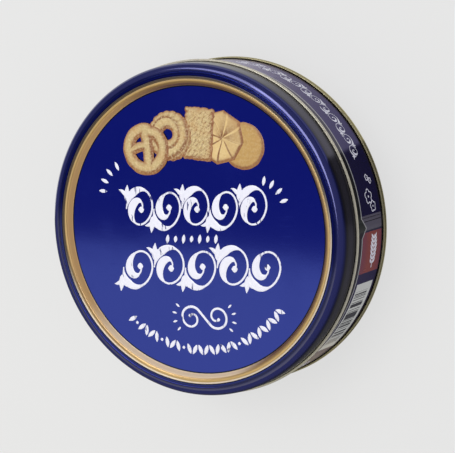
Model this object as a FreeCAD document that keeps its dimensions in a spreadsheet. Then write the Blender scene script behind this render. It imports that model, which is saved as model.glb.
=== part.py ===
"""Round slip-lid cookie tin: lid, side-seamed wall, double-seamed bottom, and what is packed inside.

The tin stands on its bottom seam, +Z up, with the origin at the centre of that footprint.
Every sheet-metal piece is a strip of constant gauge, drawn as one closed section and revolved.
"""
import FreeCAD, Part
import math
import os
import re
import Sketcher

SIZES = [
    ("gauge", 0.25, "tinplate thickness"),
    ("wall_radius", 95.0, "outside radius of the body wall"),
    ("rolled_radius", 0.825, "outside radius of the rolled edges of lid and wall"),
    ("panel_radius", 82.7, "flat part of the recessed lid panel"),
    ("panel_height", 51.9, "top of the recessed lid panel"),
    ("step_slope", 60.0, "steepest slope of the step round the panel"),
    ("step_foot", 0.8, "bend radius at the foot of the step"),
    ("step_run", 2.05, "straight part of the step"),
    ("band_bend", 2.4, "rounded top of the broad band"),
    ("band_fall", 15.0, "slope at which the band falls into the groove"),
    ("groove_bend", 0.45, "bend radius of the thin groove"),
    ("ridge_rise", 40.0, "slope on the inner side of the ridge"),
    ("ridge_bend", 0.7, "bend radius of the ridge"),
    ("ridge_fall", 30.0, "slope on the outer side of the ridge"),
    ("ledge_bend", 0.5, "bend radius where the ridge meets the outer ledge"),
    ("corner_radius", 4.0, "rounded shoulder of the lid"),
    ("skirt_gap", 0.35, "radial gap between wall and lid skirt"),
    ("lid_roll_height", 39.0, "centre of the rolled edge of the lid"),
    ("lid_roll_sweep", 295.0, "turn of the rolled edge of the lid"),
    ("wall_roll_height", 51.8, "centre of the rolled edge of the wall"),
    ("wall_roll_sweep", 255.0, "turn of the rolled edge of the wall"),
    ("stop_height", 36.3, "centre of the bead that the lid comes down to"),
    ("stop_bend", 0.65, "bend radii of the stop bead"),
    ("stop_slope", 50.0, "steepest slope of the stop bead"),
    ("seam_gap", 0.16, "free space between the layers of the double seam"),
    ("chuck_gap", 0.12, "free space between the wall and the end inside it"),
    ("seam_turn_height", 2.9, "centre of the upper turn of the double seam"),
    ("flange_turn_height", 1.3, "centre of the turn of the wall flange"),
    ("flange_tip", 2.4, "top of the wall flange hook"),
    ("end_hook_tip", 1.4, "lower tip of the hook of the end"),
    ("end_turn", 0.45, "outside bend radius where the seam meets the ground"),
    ("end_panel_height", 3.75, "upper face of the bottom panel"),
    ("end_shoulder", 0.8, "outside bend radius at the rim of the bottom panel"),
    ("end_bead_radius", 74.0, "inner edge of the outer stiffening bead of the bottom"),
    ("end_bead_pitch", 22.0, "radial distance between the two stiffening beads"),
    ("end_bead_bend", 1.6, "bend radii of the stiffening beads"),
    ("end_bead_slope", 32.0, "steepest slope of the stiffening beads"),
    ("compound_clear", 0.08, "free space above and below the sealing ring"),
    ("compound_width", 0.5, "radial width of the sealing ring"),
    ("lock_start", -2.1, "angle at which the side seam starts"),
    ("lock_end", 2.0, "angle at which the side seam ends"),
    ("lock_fold", 0.5, "how far the folded side seam stands inwards"),
    ("lock_rise", 0.1, "how far the folded side seam stands outwards"),
    ("lock_foot", 4.4, "lower end of the side seam fold"),
    ("lock_length", 30.0, "height of the side seam fold, which ends below the stop bead"),
    ("cup_ring", 58.6, "distance of each paper cup from the axis"),
    ("cup_count", 5.0, "number of paper cups"),
    ("cup_floor_height", 4.2, "underside of the paper cups"),
    ("cup_height", 34.0, "height of the paper cups"),
    ("cup_base_radius", 29.8, "outside radius of a cup at its base"),
    ("cup_mouth_radius", 33.4, "outside radius of a cup at its mouth"),
    ("cup_paper", 0.4, "thickness of the pleated cup paper"),
    ("cookie_radius", 27.6, "largest radius of a cookie"),
    ("cookie_thickness", 9.6, "thickness of a cookie"),
    ("cookie_pitch", 10.3, "height from one cookie of a stack to the next"),
    ("cookie_count", 4.0, "cookies in a stack"),
    ("cookie_edge", 2.0, "rounding of the cookie edges"),
    ("ring_hole", 9.0, "hole radius of the ring cookie"),
    ("bar_length", 46.0, "length of the rectangular cookie"),
    ("bar_width", 30.0, "width of the rectangular cookie"),
    ("wheel_hub", 11.0, "radius of the raised hub of the wheel cookie"),
    ("wheel_dish", 1.6, "depth of the dish round that hub"),
    ("pretzel_hole", 6.6, "radius of the three holes of the pretzel"),
    ("pretzel_hole_ring", 13.2, "distance of those holes from the middle"),
    ("liner_radius", 91.0, "radius of the paper cushion over the cookies"),
    ("liner_height", 46.6, "underside of the paper cushion"),
    ("liner_thickness", 1.8, "thickness of the paper cushion"),
    ("liner_edge", 0.6, "rounding of the paper cushion"),
]
ALIASES = {alias for alias, _, _ in SIZES}
COOKIES = ("pretzel", "ring", "bar", "wheel", "round")
FLANGE_BEND = "(seam_gap + 1.5 * gauge)"  # outside radius of the turn of the wall flange

doc = FreeCAD.newDocument("cookie_tin")


def make_sheet():
    """Put the driving dimensions in a spreadsheet, one alias to a row."""
    sheet = doc.addObject("Spreadsheet::Sheet", "Sizes")
    for row, (alias, value, meaning) in enumerate(SIZES, start=1):
        sheet.set(f"A{row}", alias)
        sheet.set(f"B{row}", str(value))
        sheet.set(f"C{row}", meaning)
        sheet.setAlias(f"B{row}", alias)
    doc.recompute()
    return sheet


def full(text):
    """The expression with each alias named in full, as other objects must write it."""
    return re.sub(r"[a-z_]+", lambda word: "Sizes." * (word[0] in ALIASES) + word[0], text)


def number(text):
    """The present value of an expression."""
    return float(sizes.evalExpression(full(text)))


def bind(thing, place, text):
    """Drive one property of a document object from the spreadsheet."""
    thing.setExpression(place, full(text))


def new_body(label):
    body = doc.addObject("PartDesign::Body", label)
    body.Label = label
    return body


def origin_item(body, role):
    """An axis or plane of the body's own origin."""
    return next(item for item in body.Origin.OriginFeatures if item.Role == role)


def new_sketch(body, name, role):
    """A sketch on one of the body's own origin planes."""
    sketch = body.newObject("Sketcher::SketchObject", name)
    sketch.AttachmentSupport = [(origin_item(body, role), "")]
    sketch.MapMode = "FlatFace"
    return sketch


def add_edge(sketch, start, end, bend):
    """A line, or an arc about bend's centre; returns its index and the names of its two ends."""
    here = FreeCAD.Vector(number(start[0]), number(start[1]), 0)
    there = FreeCAD.Vector(number(end[0]), number(end[1]), 0)
    if bend is None:
        return sketch.addGeometry(Part.LineSegment(here, there), False), 1, 2
    centre, radius, leftwards = bend
    middle = FreeCAD.Vector(number(centre[0]), number(centre[1]), 0)
    first, last = (here, there) if leftwards else (there, here)
    angles = [math.atan2(p.y - middle.y, p.x - middle.x) for p in (first, last)]
    if angles[1] <= angles[0]:
        angles[1] += 2 * math.pi
    circle = Part.Circle(middle, FreeCAD.Vector(0, 0, 1), number(radius))
    index = sketch.addGeometry(Part.ArcOfCircle(circle, *angles), False)
    bound = sketch.addConstraint(Sketcher.Constraint("Radius", index, number(radius)))
    bind(sketch, f"Constraints[{bound}]", radius)
    return (index, 1, 2) if leftwards else (index, 2, 1)


def pin_point(sketch, index, end, point):
    """Hold a sketch point at two expressions; a zero keeps it on the axis itself."""
    for kind, axis, text in (("DistanceX", -2, point[0]), ("DistanceY", -1, point[1])):
        if text == "0":
            sketch.addConstraint(Sketcher.Constraint("PointOnObject", index, end, axis))
        else:
            bound = sketch.addConstraint(Sketcher.Constraint(kind, index, end, number(text)))
            bind(sketch, f"Constraints[{bound}]", text)


def draw_outline(sketch, corners):
    """A closed outline; each corner is ((x, y), bend), bend being the edge that follows it."""
    edges = []
    for (point, bend), (following, _) in zip(corners, corners[1:] + corners[:1]):
        edges.append(add_edge(sketch, point, following, bend))
    for (index, start, _), (before, _, end) in zip(edges, edges[-1:] + edges[:-1]):
        sketch.addConstraint(Sketcher.Constraint("Coincident", before, end, index, start))
    for (point, _), (index, start, _) in zip(corners, edges):
        pin_point(sketch, index, start, point)


def draw_rectangle(sketch, low, high):
    corners = [low, (high[0], low[1]), high, (low[0], high[1])]
    draw_outline(sketch, [(corner, None) for corner in corners])


def draw_circle(sketch, centre, radius):
    middle = FreeCAD.Vector(number(centre[0]), number(centre[1]), 0)
    circle = Part.Circle(middle, FreeCAD.Vector(0, 0, 1), number(radius))
    index = sketch.addGeometry(circle, False)
    bound = sketch.addConstraint(Sketcher.Constraint("Radius", index, number(radius)))
    bind(sketch, f"Constraints[{bound}]", radius)
    pin_point(sketch, index, 3, centre)


def right_face(point, slope):
    """The point of the right face across the sheet from a point of the left face."""
    if slope == "0":
        return (point[0], f"{point[1]} - gauge")
    return (f"{point[0]} + gauge * sin({slope})", f"{point[1]} - gauge * cos({slope})")


def turn(point, slope, leftwards, radius, after):
    """Centre of a bend of the left face, and the point where it ends."""
    back, on = ("-", "+") if leftwards else ("+", "-")
    centre = (
        f"{point[0]} {back} ({radius}) * sin({slope})",
        f"{point[1]} {on} ({radius}) * cos({slope})",
    )
    end = (
        f"{centre[0]} {on} ({radius}) * sin({after})",
        f"{centre[1]} {back} ({radius}) * cos({after})",
    )
    return centre, end


def draw_strip(sketch, start, slope, moves):
    """Section of a strip of sheet, followed along its left face.

    A move is ("run", length) or ("left" | "right", radius of the left face, slope reached).
    """
    left = []
    right = [(right_face(start, slope), None)]
    point = start
    for kind, size, *reached in moves:
        if kind == "run":
            end = (f"{point[0]} + ({size}) * cos({slope})", f"{point[1]} + ({size}) * sin({slope})")
            left.append((point, None))
            right.append((right_face(end, slope), None))
        else:
            leftwards = kind == "left"
            centre, end = turn(point, slope, leftwards, size, reached[0])
            slope = reached[0]
            opposite = f"{size} + gauge" if leftwards else f"{size} - gauge"
            left.append((point, (centre, size, leftwards)))
            right.append((right_face(end, slope), (centre, opposite, not leftwards)))
        point = end
    left.append((point, None))
    draw_outline(sketch, left + right[::-1])


def revolve(body, sketch):
    """Turn a section all the way round the axis of the tin."""
    turned = body.newObject("PartDesign::Revolution", f"{body.Label}_turned")
    turned.Profile = sketch
    turned.ReferenceAxis = (sketch, ["V_Axis"])
    turned.Angle = 360.0
    sketch.Visibility = False
    return turned


def pad(body, sketch, length, name):
    """Raise a sketch straight up."""
    raised = body.newObject("PartDesign::Pad", name)
    raised.Profile = sketch
    bind(raised, "Length", length)
    return raised


def sheet_body(label, start, slope, moves):
    """A piece made of one strip of sheet, revolved."""
    body = new_body(label)
    sketch = new_sketch(body, f"{label}_section", "XZ_Plane")
    draw_strip(sketch, start, slope, moves)
    revolve(body, sketch)
    return body


def make_lid():
    """Lid: recessed panel, stepped band, thin ridge, rounded shoulder, skirt and rolled edge."""
    skirt = "wall_radius + skirt_gap + gauge"
    ledge_start = ridge_end(("panel_radius", "panel_height"))
    moves = step_moves()
    moves += [
        ("run", f"{skirt} - corner_radius - ({ledge_start[0]})"),
        ("right", "corner_radius", "-90"),
        ("run", f"{ledge_start[1]} - corner_radius - lid_roll_height"),
        ("left", "rolled_radius - gauge", "-90 + lid_roll_sweep"),
    ]
    return sheet_body("lid_shell", ("0", "panel_height"), "0", moves)


def step_moves():
    """From the middle of the lid, up the step, over the band, the groove and the ridge."""
    return [
        ("run", "panel_radius"),
        ("left", "step_foot", "step_slope"),
        ("run", "step_run"),
        ("right", "band_bend", "-band_fall"),
        ("left", "groove_bend", "ridge_rise"),
        ("right", "ridge_bend", "-ridge_fall"),
        ("left", "ledge_bend", "0"),
    ]


def ridge_end(point):
    """Where the outer foot of the ridge meets the flat ledge."""
    slope = "0"
    for kind, size, *reached in step_moves()[1:]:
        if kind == "run":
            point = (f"{point[0]} + {size} * cos({slope})", f"{point[1]} + {size} * sin({slope})")
        else:
            point = turn(point, slope, kind == "left", size, reached[0])[1]
            slope = reached[0]
    return point


def make_wall():
    """Wall: flange hooked into the seam, stop bead under the lid, edge rolled inwards."""
    hook_face = "wall_radius + 2 * seam_gap + 2 * gauge"
    bead_half = "(2 * stop_bend + gauge) * sin(stop_slope)"
    moves = [
        ("run", "flange_tip - flange_turn_height"),
        ("right", FLANGE_BEND, "-180"),
        ("right", FLANGE_BEND, "-270"),
        ("run", f"stop_height - flange_turn_height - {bead_half}"),
        ("right", "stop_bend + gauge", "-270 - stop_slope"),
        ("left", "stop_bend", "-270 + stop_slope"),
        ("right", "stop_bend + gauge", "-270"),
        ("run", f"wall_roll_height - stop_height - {bead_half}"),
        ("left", "rolled_radius - gauge", "-270 + wall_roll_sweep"),
    ]
    body = sheet_body("body_wall", (hook_face, "flange_tip"), "-90", moves)
    fold = new_sketch(body, "lock_fold", "XY_Plane")
    bind(fold, "AttachmentOffset.Base.z", "lock_foot")
    inner = "wall_radius - gauge - lock_fold"
    outer = "wall_radius + lock_rise"
    corners = [
        (on_circle(outer, "lock_start"), (("0", "0"), outer, True)),
        (on_circle(outer, "lock_end"), None),
        (on_circle(inner, "lock_end"), (("0", "0"), inner, False)),
        (on_circle(inner, "lock_start"), None),
    ]
    draw_outline(fold, corners)
    pad(body, fold, "lock_length", "lock_seam")


def on_circle(radius, angle):
    return (f"({radius}) * cos({angle})", f"({radius}) * sin({angle})")


def make_bottom():
    """Bottom end: beaded panel, chuck wall inside the wall, and the outer layers of the seam."""
    bead_width = "2 * (2 * end_bead_bend + gauge) * sin(end_bead_slope)"
    chuck_face = "wall_radius - gauge - chuck_gap"
    bead = [
        ("right", "end_bead_bend + gauge", "-end_bead_slope"),
        ("left", "end_bead_bend", "end_bead_slope"),
        ("right", "end_bead_bend + gauge", "0"),
    ]
    moves = [("run", "end_bead_radius - end_bead_pitch")] + bead
    moves += [("run", f"end_bead_pitch - {bead_width}")] + bead
    moves += [
        ("run", f"{chuck_face} - end_shoulder - end_bead_radius - {bead_width}"),
        ("right", "end_shoulder", "-90"),
        ("run", "end_panel_height - end_shoulder - end_turn"),
        ("left", "end_turn - gauge", "0"),
        ("run", "3 * seam_gap + 3 * gauge + chuck_gap - 2 * (end_turn - gauge)"),
        ("left", "end_turn - gauge", "90"),
        ("run", "seam_turn_height - end_turn"),
        ("left", "seam_gap + gauge / 2", "180"),
        ("left", "seam_gap + gauge / 2", "270"),
        ("run", "seam_turn_height - end_hook_tip"),
    ]
    sheet_body("bottom_end", ("0", "end_panel_height"), "0", moves)


def make_compound():
    """Sealing ring that fills the fold between the flange of the wall and the end."""
    middle = f"wall_radius - gauge + {FLANGE_BEND}"
    body = new_body("seam_compound")
    sketch = new_sketch(body, "compound_section", "XZ_Plane")
    low = (f"{middle} - compound_width / 2", "gauge + compound_clear")
    high = (
        f"{middle} + compound_width / 2",
        f"flange_turn_height - {FLANGE_BEND} - compound_clear",
    )
    draw_rectangle(sketch, low, high)
    revolve(body, sketch)


def round_edges(body, base, radius, name):
    """Round every edge of a feature."""
    doc.recompute()
    rounded = body.newObject("PartDesign::Fillet", name)
    rounded.Base = (base, [f"Edge{i + 1}" for i in range(len(base.Shape.Edges))])
    bind(rounded, "Radius", radius)
    return rounded


def make_liner():
    """Paper cushion that lies on the cookies under the lid."""
    body = new_body("paper_cushion")
    sketch = new_sketch(body, "cushion_outline", "XY_Plane")
    bind(sketch, "AttachmentOffset.Base.z", "liner_height")
    draw_circle(sketch, ("0", "0"), "liner_radius")
    disc = pad(body, sketch, "liner_thickness", "cushion_disc")
    round_edges(body, disc, "liner_edge", "cushion_rim")


def place_in_ring(body, index, height):
    """Stand a piece in its place in the ring of paper cups."""
    angle = f"90 + {index} * 360 / cup_count"
    bind(body, "Placement.Base.x", f"cup_ring * cos({angle})")
    bind(body, "Placement.Base.y", f"cup_ring * sin({angle})")
    bind(body, "Placement.Base.z", height)
    body.Placement.Rotation = FreeCAD.Rotation(FreeCAD.Vector(0, 0, 1), number(angle) - 90)


def make_cup(index, kind):
    """Paper cup, wider at the mouth, that holds one stack of cookies."""
    body = new_body(f"{kind}_cup")
    sketch = new_sketch(body, f"{kind}_cup_section", "XZ_Plane")
    points = [
        ("0", "0"),
        ("cup_base_radius", "0"),
        ("cup_mouth_radius", "cup_height"),
        ("cup_mouth_radius - cup_paper", "cup_height"),
        ("cup_base_radius - cup_paper", "cup_paper"),
        ("0", "cup_paper"),
    ]
    draw_outline(sketch, [(point, None) for point in points])
    revolve(body, sketch)
    place_in_ring(body, index, "cup_floor_height")


def pocket(body, sketch, depth, name):
    """Cut a sketch downwards, and make sure that the cut took something away."""
    doc.recompute()
    before = body.Shape.Volume
    cut = body.newObject("PartDesign::Pocket", name)
    cut.Profile = sketch
    bind(cut, "Length", depth)
    doc.recompute()
    if not cut.Shape.Volume < before:
        raise RuntimeError(f"{name} cuts nothing")
    return cut


def sketch_on_top(body, name):
    """A sketch in the top face of a cookie."""
    sketch = new_sketch(body, name, "XY_Plane")
    bind(sketch, "AttachmentOffset.Base.z", "cookie_thickness")
    return sketch


def cut_pretzel(body):
    """Three holes between the strands of the pretzel."""
    holes = sketch_on_top(body, "pretzel_holes")
    for angle in ("30", "150", "270"):
        draw_circle(holes, on_circle("pretzel_hole_ring", angle), "pretzel_hole")
    return pocket(body, holes, "cookie_thickness", "pretzel_openings")


def cut_ring(body):
    """The hole in the middle of the ring cookie."""
    hole = sketch_on_top(body, "ring_hole_outline")
    draw_circle(hole, ("0", "0"), "ring_hole")
    return pocket(body, hole, "cookie_thickness", "ring_opening")


def cut_wheel(body):
    """The dish between the hub and the rim of the wheel cookie."""
    dish = sketch_on_top(body, "wheel_dish_outline")
    draw_circle(dish, ("0", "0"), "wheel_hub")
    draw_circle(dish, ("0", "0"), "cookie_radius * 0.8")
    return pocket(body, dish, "wheel_dish", "wheel_dish_cut")


def make_biscuit(body, kind):
    """One cookie as a plain block with its outline, before it is cut and rounded."""
    outline = new_sketch(body, f"{kind}_outline", "XY_Plane")
    if kind == "bar":
        corner = ("bar_length / 2", "bar_width / 2")
        draw_rectangle(outline, (f"-{corner[0]}", f"-{corner[1]}"), corner)
    else:
        draw_circle(outline, ("0", "0"), "cookie_radius")
    return pad(body, outline, "cookie_thickness", f"{kind}_biscuit")


def make_cookies(index, kind):
    """A stack of equal cookies, each a solid of its own."""
    body = new_body(f"{kind}_cookies")
    biscuit = make_biscuit(body, kind)
    if kind == "pretzel":
        biscuit = cut_pretzel(body)
    if kind == "ring":
        biscuit = cut_ring(body)
    round_edges(body, biscuit, "cookie_edge", f"{kind}_rounding")
    if kind == "wheel":
        cut_wheel(body)
    stack_up(body)
    place_in_ring(body, index, "cup_floor_height + cup_paper + cookie_pitch - cookie_thickness")


def stack_up(body):
    """Repeat the finished cookie upwards."""
    doc.recompute()
    stack = body.newObject("PartDesign::LinearPattern", f"{body.Label}_stack")
    stack.TransformMode = "Whole shape"
    stack.Direction = (origin_item(body, "Z_Axis"), [""])
    stack.Mode = "Spacing"
    bind(stack, "Offset", "cookie_pitch")
    bind(stack, "Occurrences", "cookie_count")
    body.Tip = stack


def check_document():
    """Stop if any object failed to compute or a piece has no sound shape."""
    for item in doc.Objects:
        if {"Invalid", "Error"} & set(item.State):
            raise RuntimeError(f"{item.Label} is {item.State}")
    for body in doc.findObjects("PartDesign::Body"):
        if body.Shape.isNull() or not body.Shape.isValid():
            raise RuntimeError(f"{body.Label} has no sound shape")


def write_parts():
    """Write each piece to a STEP file of its own name."""
    os.makedirs("parts", exist_ok=True)
    for body in doc.findObjects("PartDesign::Body"):
        body.Shape.exportStep(f"parts/{body.Label}.step")


sizes = make_sheet()
make_lid()
make_wall()
make_bottom()
make_compound()
make_liner()
for index, kind in enumerate(COOKIES):
    make_cup(index, kind)
    make_cookies(index, kind)
doc.recompute()
check_document()
write_parts()
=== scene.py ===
import random
from math import atan, atan2, ceil, cos, degrees, pi, radians, sin

import bpy
import numpy as np
from mathutils import Matrix, Vector

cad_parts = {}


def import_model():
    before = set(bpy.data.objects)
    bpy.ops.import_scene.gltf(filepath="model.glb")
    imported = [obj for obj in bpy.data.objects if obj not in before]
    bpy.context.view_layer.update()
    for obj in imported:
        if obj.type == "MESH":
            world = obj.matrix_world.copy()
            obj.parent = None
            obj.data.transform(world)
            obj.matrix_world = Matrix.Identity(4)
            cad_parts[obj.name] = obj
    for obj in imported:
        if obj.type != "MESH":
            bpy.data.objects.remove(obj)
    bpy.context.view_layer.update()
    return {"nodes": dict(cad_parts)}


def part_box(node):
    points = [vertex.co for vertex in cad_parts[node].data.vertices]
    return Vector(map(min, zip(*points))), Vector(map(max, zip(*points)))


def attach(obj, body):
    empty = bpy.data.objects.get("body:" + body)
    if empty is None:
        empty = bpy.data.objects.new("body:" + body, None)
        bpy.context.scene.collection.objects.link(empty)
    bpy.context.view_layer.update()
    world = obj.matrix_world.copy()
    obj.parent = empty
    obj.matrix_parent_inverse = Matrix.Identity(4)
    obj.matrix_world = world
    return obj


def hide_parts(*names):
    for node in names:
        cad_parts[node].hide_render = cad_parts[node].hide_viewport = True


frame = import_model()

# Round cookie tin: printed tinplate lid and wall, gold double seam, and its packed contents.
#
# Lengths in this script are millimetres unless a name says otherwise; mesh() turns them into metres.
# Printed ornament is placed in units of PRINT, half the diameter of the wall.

MM = 0.001


def box(node):
    """Lowest and highest corner of a CAD node at rest, in millimetres."""
    return np.array(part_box(node), float) / MM


# Sheet metal, as in the frame
GAUGE = 0.25
ROLL = 0.825
WALL_RADIUS = 95.0
PANEL_RADIUS = 82.7
PANEL_HEIGHT = 51.9
LID_ROLL_HEIGHT = box("lid_shell")[0][2] + ROLL
WALL_ROLL_HEIGHT = box("body_wall")[1][2] - ROLL
SKIRT = WALL_RADIUS + 0.35 + GAUGE
CORNER = 4.0
STOP_HEIGHT = 36.3
SEAM_GAP = 0.16
CHUCK_GAP = 0.12
FLANGE_TURN = 1.3
FLANGE_TIP = 2.4
FLANGE_BEND = SEAM_GAP + 1.5 * GAUGE
SEAM_TURN = 2.9
END_HEIGHT = box("bottom_end")[1][2]
INNER_BEAD = 52.0
OUTER_BEAD = 74.0
ROUND_STEPS = 320
BEND_STEP = 9.0

# Ornament unit, and where the folded side seam starts and ends, in degrees
PRINT = WALL_RADIUS
LOCK_START = -2.1
LOCK_END = 2.0


# ---- meshes


def add(name, data):
    """A new object in the scene."""
    thing = bpy.data.objects.new(name, data)
    bpy.context.scene.collection.objects.link(thing)
    return thing


def mesh(name, points, faces, body):
    """A smooth-shaded piece from points in millimetres, riding on a body of the frame."""
    data = bpy.data.meshes.new(name)
    data.from_pydata((np.asarray(points, float) * MM).tolist(), [], faces)
    data.validate()
    data.shade_smooth()
    data.set_sharp_from_angle(angle=radians(50))
    piece = add(name, data)
    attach(piece, body)
    return piece


def loft_faces(rows, around, first=0):
    """Faces of closed rows of points, one above the other, with a cap at each end."""
    last = first + (rows - 1) * around
    faces = []
    for low in range(first, last, around):
        for k in range(around):
            nxt = (k + 1) % around
            faces.append([low + k, low + nxt, low + around + nxt, low + around + k])
    faces.append([first + k for k in range(around)][::-1])
    faces.append([last + k for k in range(around)])
    return faces


def polar(reach, turn, centre=(0, 0)):
    """The point at a distance and an angle in degrees from a centre."""
    return centre[0] + reach * np.cos(np.radians(turn)), centre[1] + reach * np.sin(np.radians(turn))


def beside(point, slope, offset):
    """The point at a distance to the right of a path that runs at slope."""
    return polar(offset, slope - 90, point)


def bend_points(centre, radius, start, end):
    """Points along a bend whose path runs at slope start, then end; radius is negative turning right."""
    steps = max(2, ceil(abs(end - start) / BEND_STEP))
    return [beside(centre, start + (end - start) * k / steps, radius) for k in range(steps + 1)]


def strip_faces(start, slope, moves):
    """The two faces of a bent strip of sheet, as lists of (radius, height) points."""
    faces = ([start], [beside(start, slope, GAUGE)])
    point = start
    for kind, size, *reached in moves:
        if kind == "run":
            point = polar(size, slope, point)
            faces[0].append(point)
            faces[1].append(beside(point, slope, GAUGE))
            continue
        radius = size if kind == "left" else -size
        centre = beside(point, slope, -radius)
        for side, reach in ((0, radius), (1, radius + GAUGE)):
            faces[side].extend(bend_points(centre, reach, slope, reached[0])[1:])
        slope = reached[0]
        point = faces[0][-1]
    return faces


def revolved(name, body, start, slope, moves):
    """A strip of sheet turned round the axis; its right face gets the second material."""
    left, right = strip_faces(start, slope, moves)
    loop = left + right[::-1]
    angles = [360 * k / ROUND_STEPS for k in range(ROUND_STEPS)]
    points = []
    rings = []
    for r, z in loop:
        turns = angles if r > 1e-6 else [0.0]
        rings.append([len(points) + k for k in range(len(turns))])
        points.extend((*polar(r, turn), z) for turn in turns)
    faces = []
    sides = []
    for i, ring in enumerate(rings):
        following = rings[(i + 1) % len(rings)]
        if len(ring) == len(following) == 1:
            continue
        for k in range(ROUND_STEPS):
            nxt = (k + 1) % ROUND_STEPS
            corners = [ring[k % len(ring)], following[k % len(following)],
                       following[nxt % len(following)], ring[nxt % len(ring)]]
            faces.append(list(dict.fromkeys(corners)))
            sides.append(int(i >= len(left) - 1))
    piece = mesh(name, points, faces, body)
    piece.data.polygons.foreach_set("material_index", sides)
    return piece


def dress(piece, *materials, node=None):
    """Turn a piece's faces outwards, give it its materials and let it stand for a CAD node."""
    face_outwards(piece)
    for material in materials:
        piece.data.materials.append(material)
    if node:
        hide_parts(node)


def face_outwards(piece):
    """Turn the faces of a closed mesh so that its volume is positive."""
    data = piece.data
    data.calc_loop_triangles()
    corners = np.array([corner.co for corner in data.vertices])
    triangles = np.array([triangle.vertices[:] for triangle in data.loop_triangles])
    if np.linalg.det(corners[triangles]).sum() < 0:
        data.flip_normals()


# ---- node materials


class Nodes:
    """Short calls for node arithmetic on numbers, linear colours and other nodes' outputs."""

    def __init__(self, tree):
        self.tree = tree

    def plug(self, socket, value):
        if isinstance(value, bpy.types.NodeSocket):
            self.tree.links.new(value, socket)
        else:
            socket.default_value = (*value, 1) if socket.type == "RGBA" else value

    def node(self, kind, inputs, **settings):
        """A new node, with its inputs given by name or number."""
        node = self.tree.nodes.new("ShaderNode" + kind)
        for label, value in settings.items():
            setattr(node, label, value)
        for label, value in inputs.items():
            self.plug(node.inputs[label], value)
        return node

    def calc(self, kind, *values, clamp=False):
        return self.node("Math", dict(enumerate(values)), operation=kind, use_clamp=clamp).outputs[0]

    def step(self, value, low, high):
        """0 at low, 1 at high, smooth between them; low may be the larger number."""
        inputs = {"Value": value, "From Min": low, "From Max": high}
        return self.node("MapRange", inputs, interpolation_type="SMOOTHSTEP").outputs[0]

    def zone(self, value, low, high, soft):
        """1 between low and high, with edges of width soft."""
        rise = self.step(value, low - soft / 2, low + soft / 2)
        fall = self.step(value, high + soft / 2, high - soft / 2)
        return self.times(rise, fall)

    def times(self, value, *others, kind="MULTIPLY"):
        """The product; of masks, 1 where all of them are 1."""
        for other in others:
            value = self.calc(kind, value, other)
        return value

    def most(self, *values):
        """The largest; of masks, 1 where any of them is 1."""
        return self.times(*values, kind="MAXIMUM")

    def mix(self, share, first, second, kind="RGBA"):
        """Mix of two colours."""
        inputs = {"Factor": share, "A": first, "B": second}
        return self.node("Mix", inputs, data_type=kind).outputs["Result"]

    def layers(self, base, *coats, kind="RGBA"):
        """A colour, or a FLOAT number, with others laid over it in turn, each as (mask, value)."""
        for mask, value in coats:
            base = self.mix(mask, base, value, kind)
        return base

    def blend(self, number, *coats):
        """A number with others laid over it in turn, each as (mask, number)."""
        return self.layers(number, *coats, kind="FLOAT")

    def rays(self):
        """1 for what the camera sees without a mirror, and 1 for what a glossy surface mirrors."""
        path = self.node("LightPath", {})
        return path.outputs["Is Camera Ray"], path.outputs["Is Glossy Ray"]


class Skin(Nodes):
    """A node material whose masks follow a point's place on the tin."""

    def __init__(self, name):
        self.material = bpy.data.materials.new(name)
        self.material.use_nodes = True
        super().__init__(self.material.node_tree)
        self.surface = self.tree.nodes["Principled BSDF"]
        self.place = self.node("TexCoord", {}).outputs["Object"]
        self.x, self.y, self.z = self.node("SeparateXYZ", {0: self.place}).outputs

    def noise(self, scale, detail=3.0, squeeze=None, roughness=0.5):
        """Cloudy noise, squeezed by a factor along each axis."""
        place = self.place
        if squeeze:
            place = self.node("Mapping", {"Vector": place, "Scale": squeeze}).outputs[0]
        inputs = {"Vector": place, "Scale": scale, "Detail": detail, "Roughness": roughness}
        return self.node("TexNoise", inputs).outputs["Fac"]

    def cells(self, scale):
        return self.node("TexVoronoi", {"Vector": self.place, "Scale": scale}).outputs["Distance"]

    def attribute(self, name):
        return self.node("Attribute", {}, attribute_name=name).outputs["Fac"]

    def radius(self):
        """Distance from the tin's axis, in millimetres."""
        squares = [self.times(along, along) for along in (self.x, self.y)]
        return self.calc("DIVIDE", self.calc("SQRT", self.calc("ADD", *squares)), MM)

    def height(self):
        return self.calc("DIVIDE", self.z, MM)

    def turn(self):
        """Angle round the axis from +X, in degrees, -180 to 180."""
        return self.calc("DEGREES", self.calc("ARCTAN2", self.y, self.x))

    def patch(self, angles, heights, soft=0.12):
        """1 on a part of the wall between two angles and two heights."""
        return self.times(self.zone(self.turn(), *angles, soft), self.zone(self.height(), *heights, soft))

    def bump(self, relief, depth, under=None):
        """Small relief of a depth in millimetres, over another one if given."""
        inputs = {"Distance": depth * MM, "Height": relief}
        if under:
            inputs["Normal"] = under
        return self.node("Bump", inputs).outputs[0]

    def finish(self, **inputs):
        for label, value in inputs.items():
            self.plug(self.surface.inputs[label.replace("_", " ")], value)
        return self.material


# Print on the lid and the wall; some of these colours are painted sheen, reflection and shade
PANEL_BLUE = (0.034, 0.055, 0.56)
PANEL_BRIGHT = (0.038, 0.060, 0.60)
RIM_BLUE = (0.012, 0.018, 0.17)
RIM_SHEEN = (0.036, 0.038, 0.16)
SKIRT_NAVY = (0.022, 0.020, 0.034)
SKIRT_REFLECTION_GREY = (0.068, 0.062, 0.096)
NAVY = (0.009, 0.007, 0.075)
NAVY_BRIGHT = (0.012, 0.010, 0.095)
BRICK = (0.16, 0.022, 0.045)
BRICK_BRIGHT = (0.21, 0.030, 0.025)
SHADE_AND_JOINT_DARK = (0.008, 0.008, 0.02)
MARGIN_SHADE = (0.012, 0.016, 0.014)
MARGIN_PALE = (0.34, 0.34, 0.36)
BAR_WHITE = (0.62, 0.63, 0.62)
BAR_DARK = (0.03, 0.03, 0.04)
INK_WHITE = (0.74, 0.74, 0.86)
INK_GAP_BLUE = (0.02, 0.025, 0.16)
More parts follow.
